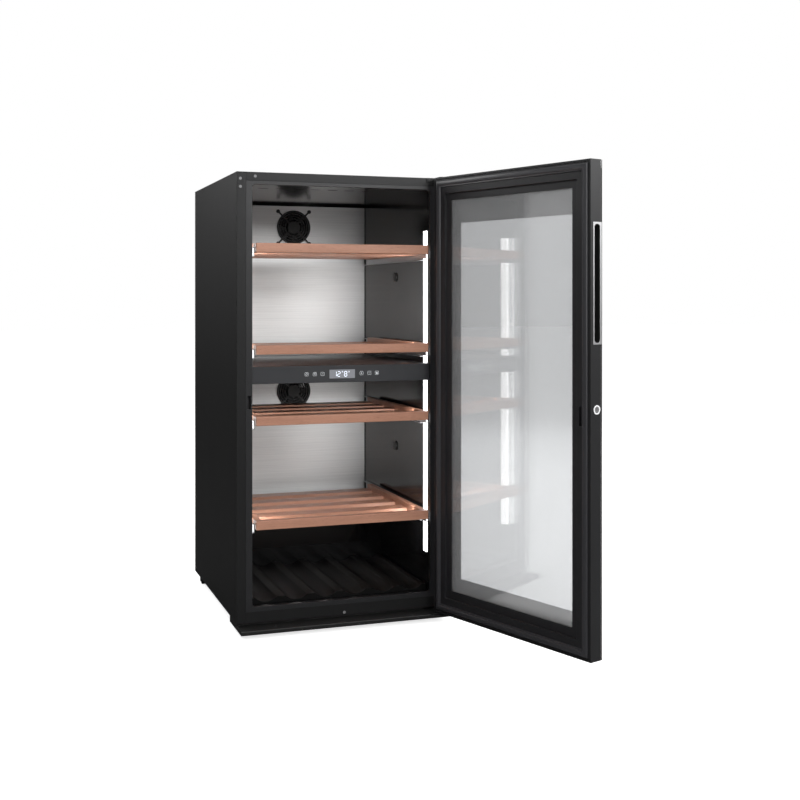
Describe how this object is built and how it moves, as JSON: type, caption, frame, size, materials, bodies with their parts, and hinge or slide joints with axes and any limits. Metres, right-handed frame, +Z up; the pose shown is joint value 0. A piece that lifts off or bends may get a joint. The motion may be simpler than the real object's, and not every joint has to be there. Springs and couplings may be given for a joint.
{
  "type": "wine cooler",
  "caption": "Tall two-zone wine cooler with a right-hinged glass door, telescopic wooden shelves and a touch panel on the zone divider.",
  "frame": {"origin": "on the floor, under the middle of the cabinet's front face", "axes": "+X to the hinge side (the right, seen from the front), +Y to the back, +Z up"},
  "size_m": [0.7736, 1.2598, 1.24],
  "materials": {
    "cabinet_steel": "satin black powder coat",
    "galvanised_steel": "matt black coated sheet",
    "anthracite_plastic": "fine matt anthracite moulding",
    "liner_plastic": "satin anthracite moulding",
    "foam": "rigid foam",
    "stainless": "horizontally brushed",
    "evaporator_aluminium": "plain",
    "fan_plastic": "matt black",
    "tinted_window": "gloss black tinted",
    "circuit_board": "green laminate",
    "light_diffuser": "frosted white, lit",
    "trim_plastic": "matt black",
    "beech": "lacquered beech",
    "slide_steel": "zinc plated",
    "foot_plastic": "matt black",
    "compressor_steel": "gloss black",
    "rubber": "soft matt black",
    "door_frame_metal": "black anodised",
    "outer_pane": "grey tinted with a black printed border",
    "inner_pane": "clear",
    "satin_silver": "satin silver"
  },
  "bodies": {
    "cabinet": {"left_side_panel": "cabinet_steel", "right_side_panel": "cabinet_steel", "top_panel": "cabinet_steel", "base_pan": "cabinet_steel", "bottom_hinge": "cabinet_steel", "top_hinge": "cabinet_steel", "rear_panel": "galvanised_steel", "compressor_cover": "galvanised_steel", "compressor_tray": "galvanised_steel", "front_frame": "anthracite_plastic", "control_panel": "anthracite_plastic", "zone_divider": "anthracite_plastic", "hole_plugs": "anthracite_plastic", "inner_liner": "liner_plastic", "bottle_cradle": "liner_plastic", "foam_insulation": "foam", "back_panels": "stainless", "evaporators": "evaporator_aluminium", "condenser": "evaporator_aluminium", "fan_grilles": "fan_plastic", "display_window": "tinted_window", "control_board": "circuit_board", "led_strips": "light_diffuser", "sensor_covers": "trim_plastic", "power_inlet": "trim_plastic", "plinth": "trim_plastic", "drip_tray": "trim_plastic", "shelf_wall_rails": "slide_steel", "screws": "slide_steel", "condenser_fan_motor": "slide_steel", "compressor": "compressor_steel", "compressor_mounts": "rubber"},
    "door": {"outer_glass": "outer_pane", "inner_glass": "inner_pane", "glass_spacers": "door_frame_metal", "door_frame": "door_frame_metal", "door_inner_frame": "anthracite_plastic", "door_gasket": "rubber", "hinge_bushes": "trim_plastic", "door_glides": "trim_plastic", "handle_cup": "trim_plastic", "handle_surround": "satin_silver", "lock_housing": "satin_silver"},
    "lock": {"lock_barrel": "satin_silver", "lock_tongue": "satin_silver"},
    "upper_fan": {"upper_fan_impeller": "fan_plastic"},
    "lower_fan": {"lower_fan_impeller": "fan_plastic"},
    "condenser_fan": {"condenser_fan_impeller": "fan_plastic"},
    "left_roller": {"rear_roller_left": "foot_plastic"},
    "right_roller": {"rear_roller_right": "foot_plastic"},
    "left_foot": {"front_foot_left": "foot_plastic"},
    "right_foot": {"front_foot_right": "foot_plastic"},
    "shelf_1": {"shelf_1": "beech", "shelf_1_slides": "slide_steel"},
    "shelf_2": {"shelf_2": "beech", "shelf_2_slides": "slide_steel"},
    "shelf_3": {"shelf_3": "beech", "shelf_3_slides": "slide_steel"},
    "shelf_4": {"shelf_4": "beech", "shelf_4_slides": "slide_steel"}
  },
  "joints": [
    {"name": "door_hinge", "type": "hinge", "parent": "cabinet", "child": "door", "pos_m": [0.2855, -0.035, 0], "axis": [0, 0, 1], "range_deg": [-108, 12]},
    {"name": "lock_turn", "type": "hinge", "parent": "door", "child": "lock", "pos_m": [0.45276, -0.57631, 0.633], "axis": [-0.309, 0.9511, 0], "range_deg": [0, 90]},
    {"name": "shelf_1_slide", "type": "slide", "parent": "cabinet", "child": "shelf_1", "axis": [0, -1, 0], "range_m": [0, 0.3]},
    {"name": "shelf_2_slide", "type": "slide", "parent": "cabinet", "child": "shelf_2", "axis": [0, -1, 0], "range_m": [0, 0.3]},
    {"name": "shelf_3_slide", "type": "slide", "parent": "cabinet", "child": "shelf_3", "axis": [0, -1, 0], "range_m": [0, 0.3]},
    {"name": "shelf_4_slide", "type": "slide", "parent": "cabinet", "child": "shelf_4", "axis": [0, -1, 0], "range_m": [0, 0.3]},
    {"name": "upper_fan_spin", "type": "hinge", "parent": "cabinet", "child": "upper_fan", "pos_m": [0.015, 0.625, 1.13], "axis": [0, 1, 0], "continuous": true},
    {"name": "lower_fan_spin", "type": "hinge", "parent": "cabinet", "child": "lower_fan", "pos_m": [0.015, 0.625, 0.6], "axis": [0, 1, 0], "continuous": true},
    {"name": "condenser_fan_spin", "type": "hinge", "parent": "cabinet", "child": "condenser_fan", "pos_m": [-0.117, 0.572, 0.07], "axis": [1, 0, 0], "continuous": true},
    {"name": "left_roller_spin", "type": "hinge", "parent": "cabinet", "child": "left_roller", "pos_m": [-0.2755, 0.61, 0.015], "axis": [1, 0, 0], "continuous": true},
    {"name": "right_roller_spin", "type": "hinge", "parent": "cabinet", "child": "right_roller", "pos_m": [0.2755, 0.61, 0.015], "axis": [1, 0, 0], "continuous": true},
    {"name": "left_foot_turn", "type": "hinge", "parent": "cabinet", "child": "left_foot", "pos_m": [-0.21, 0.024, 0], "axis": [0, 0, 1], "continuous": true},
    {"name": "right_foot_turn", "type": "hinge", "parent": "cabinet", "child": "right_foot", "pos_m": [0.21, 0.024, 0], "axis": [0, 0, 1], "continuous": true}
  ]
}
